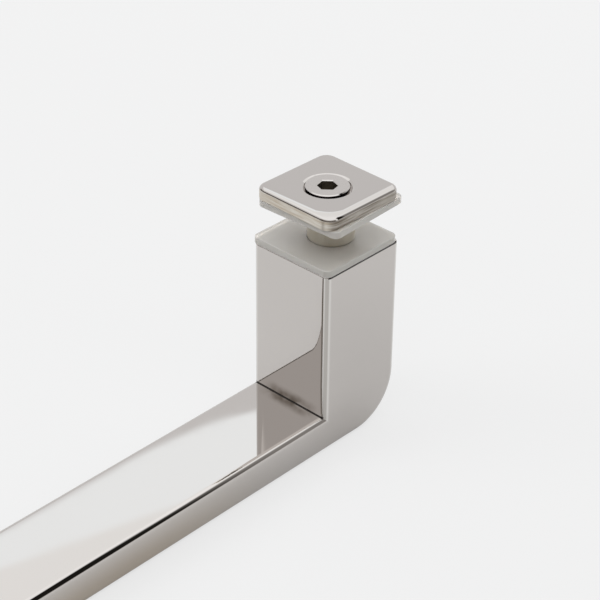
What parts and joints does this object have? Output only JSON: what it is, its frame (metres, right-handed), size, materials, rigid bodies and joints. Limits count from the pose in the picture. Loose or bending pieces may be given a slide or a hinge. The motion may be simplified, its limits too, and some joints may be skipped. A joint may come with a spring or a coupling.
{
  "type": "glass door pull handle",
  "caption": "Square U shaped pull handle in polished metal with gasketed cap plates that clamp it through holes in a glass door.",
  "frame": {"origin": "centre of the bar's flat outer face, the face it lies on", "axes": "+Z along the posts towards the glass, +X along the bar, +Y across the bar"},
  "size_m": [0.227, 0.0239, 0.0602],
  "materials": {
    "polished_nickel": "mirror polished, warm nickel tone",
    "clear_gasket": "clear soft sheet, slightly milky",
    "natural_nylon": "translucent off-white, extruded tube",
    "plated_screw": "nickel plated, turned head"
  },
  "bodies": {
    "root": {"grip": "polished_nickel", "right_post_gasket": "clear_gasket", "right_glass_sleeve": "natural_nylon", "right_cap_gasket": "clear_gasket", "right_cap_plate": "polished_nickel", "right_cap_screw": "plated_screw", "left_post_gasket": "clear_gasket", "left_glass_sleeve": "natural_nylon", "left_cap_gasket": "clear_gasket", "left_cap_plate": "polished_nickel", "left_cap_screw": "plated_screw"}
  },
  "joints": []
}
